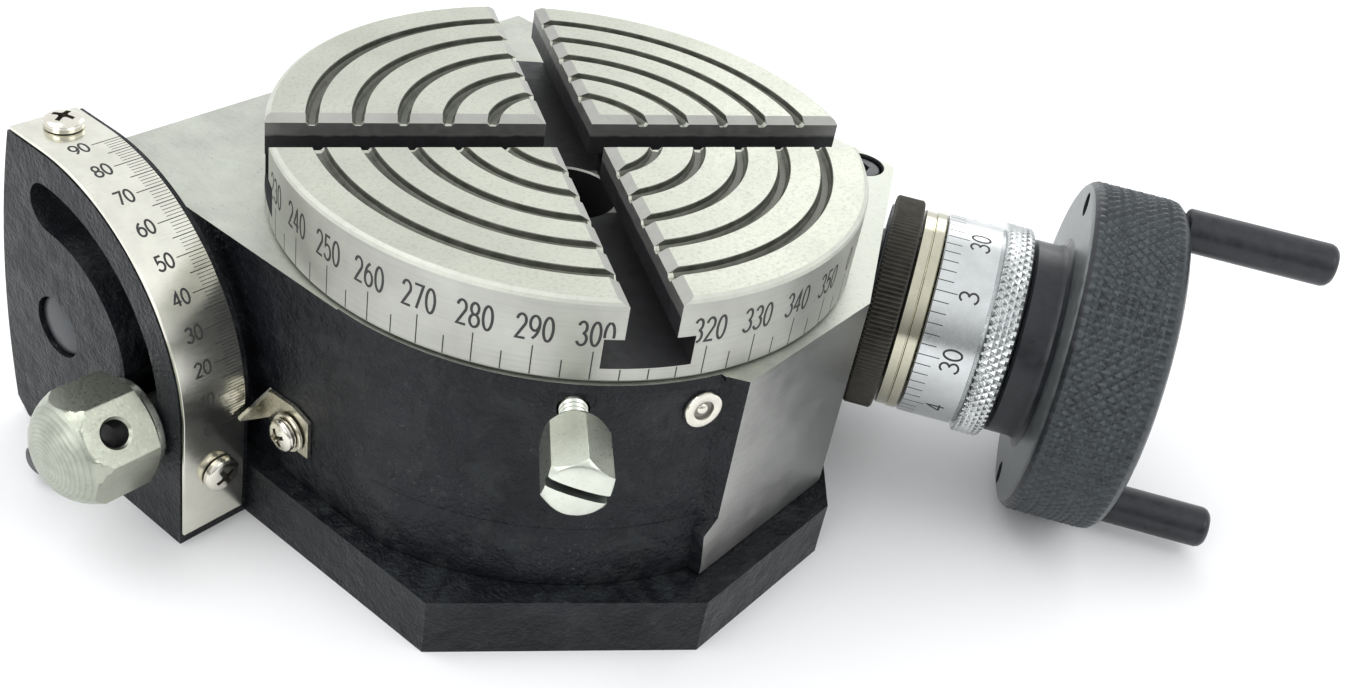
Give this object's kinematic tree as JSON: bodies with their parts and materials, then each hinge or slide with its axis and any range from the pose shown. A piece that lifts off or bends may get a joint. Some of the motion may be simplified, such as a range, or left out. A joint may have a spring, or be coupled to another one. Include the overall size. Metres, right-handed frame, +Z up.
{
  "type": "tilting rotary table",
  "caption": "Tilting rotary table with a round T-slotted top, a worm drive with handwheel and dial, and a quadrant with a clamp nut.",
  "frame": {"origin": "underside of the base, on the axis of the round table when it lies flat", "axes": "+Z up along the table's axis, +X along the tilt axis from the graduated cheek to the plain one, -Y to the front"},
  "size_m": [0.1809, 0.1732, 0.065],
  "materials": {
    "enamel": "semi-gloss black enamel on cast iron",
    "ground_steel": "ground and lightly turned",
    "scale_strip": "brushed strip with engraved degrees",
    "plain_steel": "turned, lightly oiled",
    "satin_chrome": "satin chrome plate",
    "black_oxide": "black oxide",
    "zinc_plate": "zinc plated, matt",
    "screws": "nickel plate",
    "bronze": "turned bronze"
  },
  "bodies": {
    "base": {"base_casting": "enamel", "degree_strip": "scale_strip", "strip_screw_top": "screws", "strip_screw_bottom": "screws", "left_pivot_pin": "black_oxide", "right_pivot_pin": "black_oxide", "side_stud": "black_oxide"},
    "housing": {"housing_casting": "enamel", "zero_pointer": "screws", "pointer_washer": "screws", "pointer_screw": "screws", "ball_oiler": "screws", "bush_lock_screw": "black_oxide", "bottom_cover": "enamel", "cover_screw_1": "black_oxide", "cover_screw_2": "black_oxide", "cover_screw_3": "black_oxide", "tilt_stud": "zinc_plate", "tilt_washer": "zinc_plate", "clamp_pad": "bronze"},
    "tilt_nut": {"tilt_nut": "zinc_plate"},
    "clamp_bolt": {"table_clamp_bolt": "zinc_plate"},
    "table": {"table_disc": "ground_steel", "worm_wheel": "bronze", "wheel_key": "plain_steel", "thrust_washer": "bronze", "spindle_nut": "black_oxide"},
    "bush": {"eccentric_bush": "black_oxide", "index_collar": "plain_steel"},
    "worm": {"worm_shaft": "plain_steel", "dial_spring": "plain_steel", "handwheel": "black_oxide", "handwheel_key": "plain_steel", "handwheel_washer": "black_oxide", "handwheel_nut": "black_oxide", "handle_1": "black_oxide", "handle_2": "black_oxide"},
    "dial": {"micrometer_dial": "satin_chrome"}
  },
  "joints": [
    {"name": "tilt", "type": "hinge", "parent": "base", "child": "housing", "pos_m": [0, 0.049, 0.0265], "axis": [-1, 0, 0], "range_deg": [0, 90]},
    {"name": "tilt_nut_turn", "type": "hinge", "parent": "housing", "child": "tilt_nut", "pos_m": [-0.07, 0.02688, 0.02098], "axis": [-1, 0, 0], "range_deg": [0, 180]},
    {"name": "clamp_bolt_turn", "type": "hinge", "parent": "housing", "child": "clamp_bolt", "pos_m": [-0.03936, -0.03841, 0.0464], "axis": [-0.7157, -0.6984, 0], "range_deg": [0, 180]},
    {"name": "table_turn", "type": "hinge", "parent": "housing", "child": "table", "pos_m": [0, 0, 0.065], "axis": [0, 0, 1], "continuous": true},
    {"name": "bush_turn", "type": "hinge", "parent": "housing", "child": "bush", "pos_m": [0.02406, 0.01158, 0.0324], "axis": [-0.4337, 0.9011, 0], "range_deg": [0, 90]},
    {"name": "handwheel_turn", "type": "hinge", "parent": "bush", "child": "worm", "pos_m": [0.02316, 0.01115, 0.0324], "axis": [0.4337, -0.9011, 0], "continuous": true},
    {"name": "dial_set", "type": "hinge", "parent": "worm", "child": "dial", "pos_m": [0.02316, 0.01115, 0.0324], "axis": [0.4337, -0.9011, 0], "continuous": true}
  ],
  "couplings": [
    {"joint": "handwheel_turn", "follows": "table_turn", "ratio": 72}
  ]
}
